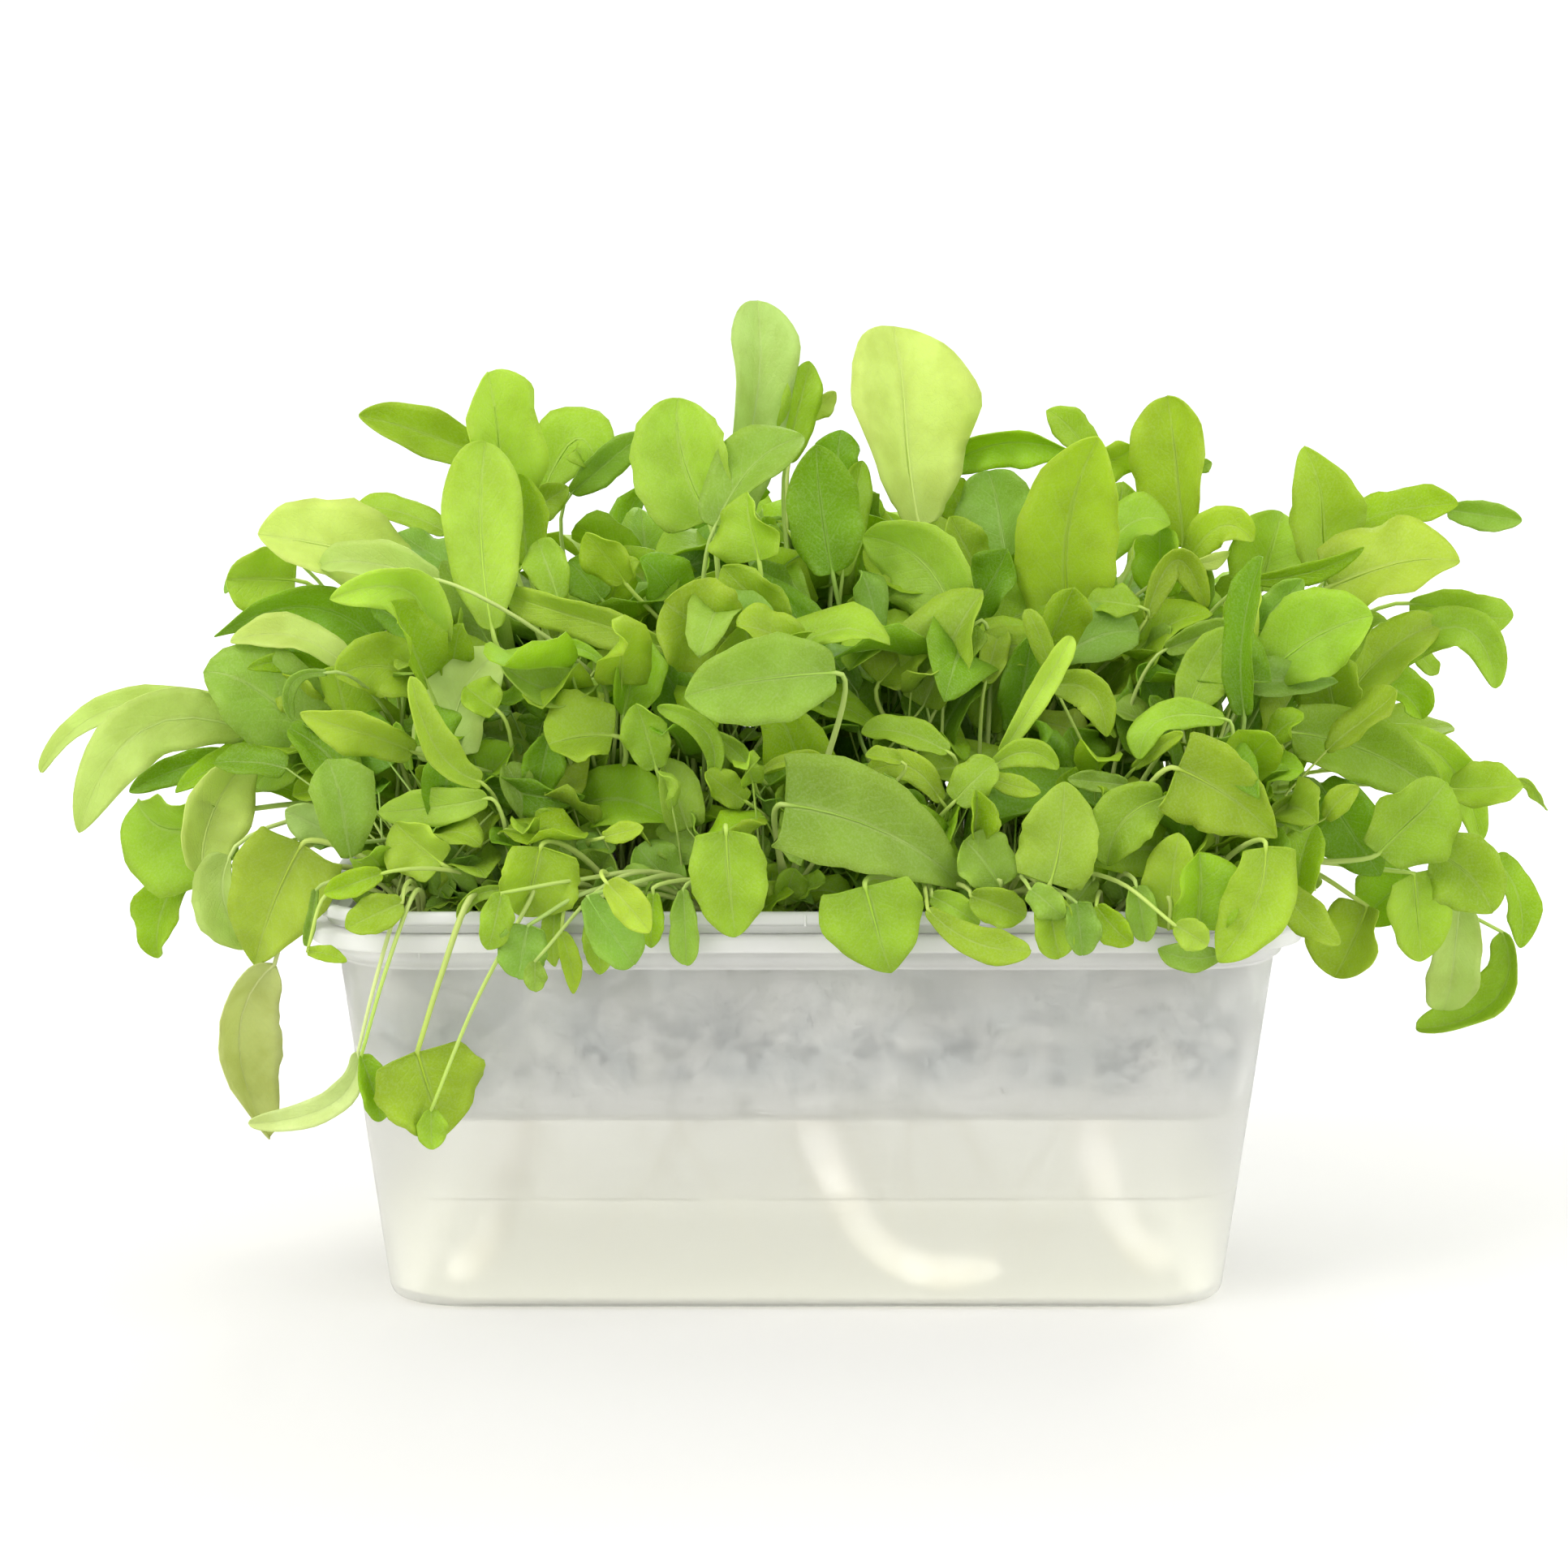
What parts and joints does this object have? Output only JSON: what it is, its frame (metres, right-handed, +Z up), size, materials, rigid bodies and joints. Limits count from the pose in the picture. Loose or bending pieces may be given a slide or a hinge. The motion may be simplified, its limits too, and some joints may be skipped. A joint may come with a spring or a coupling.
{
  "type": "potted sorrel",
  "caption": "Young sorrel plants growing thickly in a translucent wick-watered tub with an inner soil tray.",
  "frame": {"origin": "centre of the tub's flat underside", "axes": "+Z up, +X along the tub's long side, the pictured side faces -Y"},
  "size_m": [0.4576, 0.2522, 0.2885],
  "materials": {
    "frosted_plastic": "frosted translucent polypropylene",
    "soil": "damp dark potting mix",
    "water": "clear",
    "wick": "thick white felted cord",
    "leaf": "soft satin leaf, light shining through"
  },
  "bodies": {
    "root": {"reservoir_tub": "frosted_plastic", "growing_tray": "frosted_plastic", "soil": "soil", "water": "water", "wick_left": "wick", "wick_middle": "wick", "wick_right": "wick", "plant_01": "leaf", "plant_02": "leaf", "plant_03": "leaf", "plant_04": "leaf", "plant_05": "leaf", "plant_06": "leaf", "plant_07": "leaf", "plant_08": "leaf", "plant_09": "leaf", "plant_10": "leaf", "plant_11": "leaf", "plant_12": "leaf", "plant_13": "leaf", "plant_14": "leaf", "plant_15": "leaf", "plant_16": "leaf", "plant_17": "leaf", "plant_18": "leaf", "plant_19": "leaf", "plant_20": "leaf", "plant_21": "leaf", "plant_22": "leaf", "plant_23": "leaf", "plant_24": "leaf", "plant_25": "leaf", "plant_26": "leaf", "plant_27": "leaf", "plant_28": "leaf", "plant_29": "leaf", "plant_30": "leaf", "plant_31": "leaf", "plant_32": "leaf", "plant_33": "leaf", "plant_34": "leaf", "plant_35": "leaf", "plant_36": "leaf", "plant_37": "leaf", "plant_38": "leaf", "plant_39": "leaf", "plant_40": "leaf", "plant_41": "leaf", "plant_42": "leaf", "plant_43": "leaf", "plant_44": "leaf", "plant_45": "leaf"}
  },
  "joints": []
}
